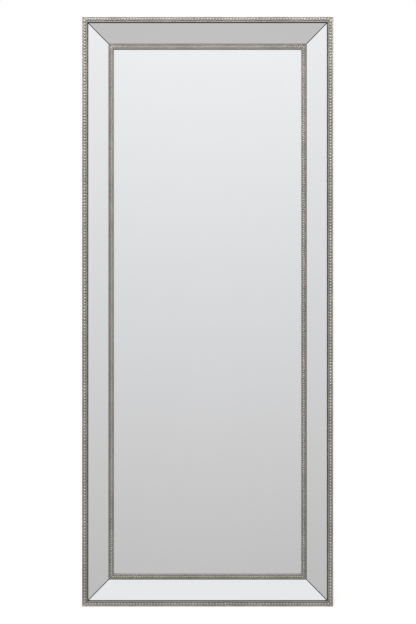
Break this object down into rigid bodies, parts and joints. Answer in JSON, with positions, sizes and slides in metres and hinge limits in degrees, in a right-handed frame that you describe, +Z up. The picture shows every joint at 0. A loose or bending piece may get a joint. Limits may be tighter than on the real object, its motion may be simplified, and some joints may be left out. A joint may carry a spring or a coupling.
{
  "type": "full-length mirror",
  "caption": "Tall rectangular mirror with sloping mirrored border strips between champagne beaded mouldings, on a mitred core with D-ring hangers on the back.",
  "frame": {"origin": "bottom edge, in the middle of the width and of the whole depth", "axes": "+Z up along the height, +X to the right as seen from the front, the mirror faces -Y"},
  "size_m": [0.72, 0.0472, 1.69],
  "materials": {
    "mirror_glass": "polished",
    "champagne_trim": "satin",
    "core_board": "satin",
    "mounting_tape": "matte",
    "spline_wood": "matte",
    "setting_plastic": "matte",
    "packing_card": "matte",
    "panel_hardboard": "matte",
    "screw_steel": "satin",
    "hanger_steel": "satin",
    "ring_steel": "polished",
    "bumper_rubber": "matte"
  },
  "bodies": {
    "frame": {"core_top_rail": "core_board", "core_bottom_rail": "core_board", "core_left_stile": "core_board", "core_right_stile": "core_board", "top_outer_moulding": "champagne_trim", "bottom_outer_moulding": "champagne_trim", "left_outer_moulding": "champagne_trim", "right_outer_moulding": "champagne_trim", "top_inner_moulding": "champagne_trim", "bottom_inner_moulding": "champagne_trim", "left_inner_moulding": "champagne_trim", "right_inner_moulding": "champagne_trim", "top_border_mirror": "mirror_glass", "bottom_border_mirror": "mirror_glass", "left_border_mirror": "mirror_glass", "right_border_mirror": "mirror_glass", "top_border_tape": "mounting_tape", "bottom_border_tape": "mounting_tape", "left_border_tape": "mounting_tape", "right_border_tape": "mounting_tape", "mitre_splines": "spline_wood", "main_mirror": "mirror_glass", "setting_blocks": "setting_plastic", "packing_sheet": "packing_card", "back_panel": "panel_hardboard", "back_panel_screws": "screw_steel", "hanger_screws": "screw_steel", "wall_bumpers": "bumper_rubber", "upper_left_hanger_strap": "hanger_steel", "upper_right_hanger_strap": "hanger_steel", "sideways_upper_hanger_strap": "hanger_steel", "sideways_lower_hanger_strap": "hanger_steel"},
    "upper_left_ring": {"upper_left_hanger_ring": "ring_steel"},
    "upper_right_ring": {"upper_right_hanger_ring": "ring_steel"},
    "sideways_upper_ring": {"sideways_upper_hanger_ring": "ring_steel"},
    "sideways_lower_ring": {"sideways_lower_hanger_ring": "ring_steel"}
  },
  "joints": [
    {"name": "upper_left_ring_swing", "type": "hinge", "parent": "frame", "child": "upper_left_ring", "pos_m": [-0.326, 0.01882, 1.39], "axis": [1, 0, 0], "range_deg": [0, 174]},
    {"name": "upper_right_ring_swing", "type": "hinge", "parent": "frame", "child": "upper_right_ring", "pos_m": [0.326, 0.01882, 1.39], "axis": [1, 0, 0], "range_deg": [0, 174]},
    {"name": "sideways_upper_ring_swing", "type": "hinge", "parent": "frame", "child": "sideways_upper_ring", "pos_m": [-0.336, 0.01882, 1.225], "axis": [0, 0, 1], "range_deg": [0, 174]},
    {"name": "sideways_lower_ring_swing", "type": "hinge", "parent": "frame", "child": "sideways_lower_ring", "pos_m": [-0.336, 0.01882, 0.465], "axis": [0, 0, 1], "range_deg": [0, 174]}
  ]
}
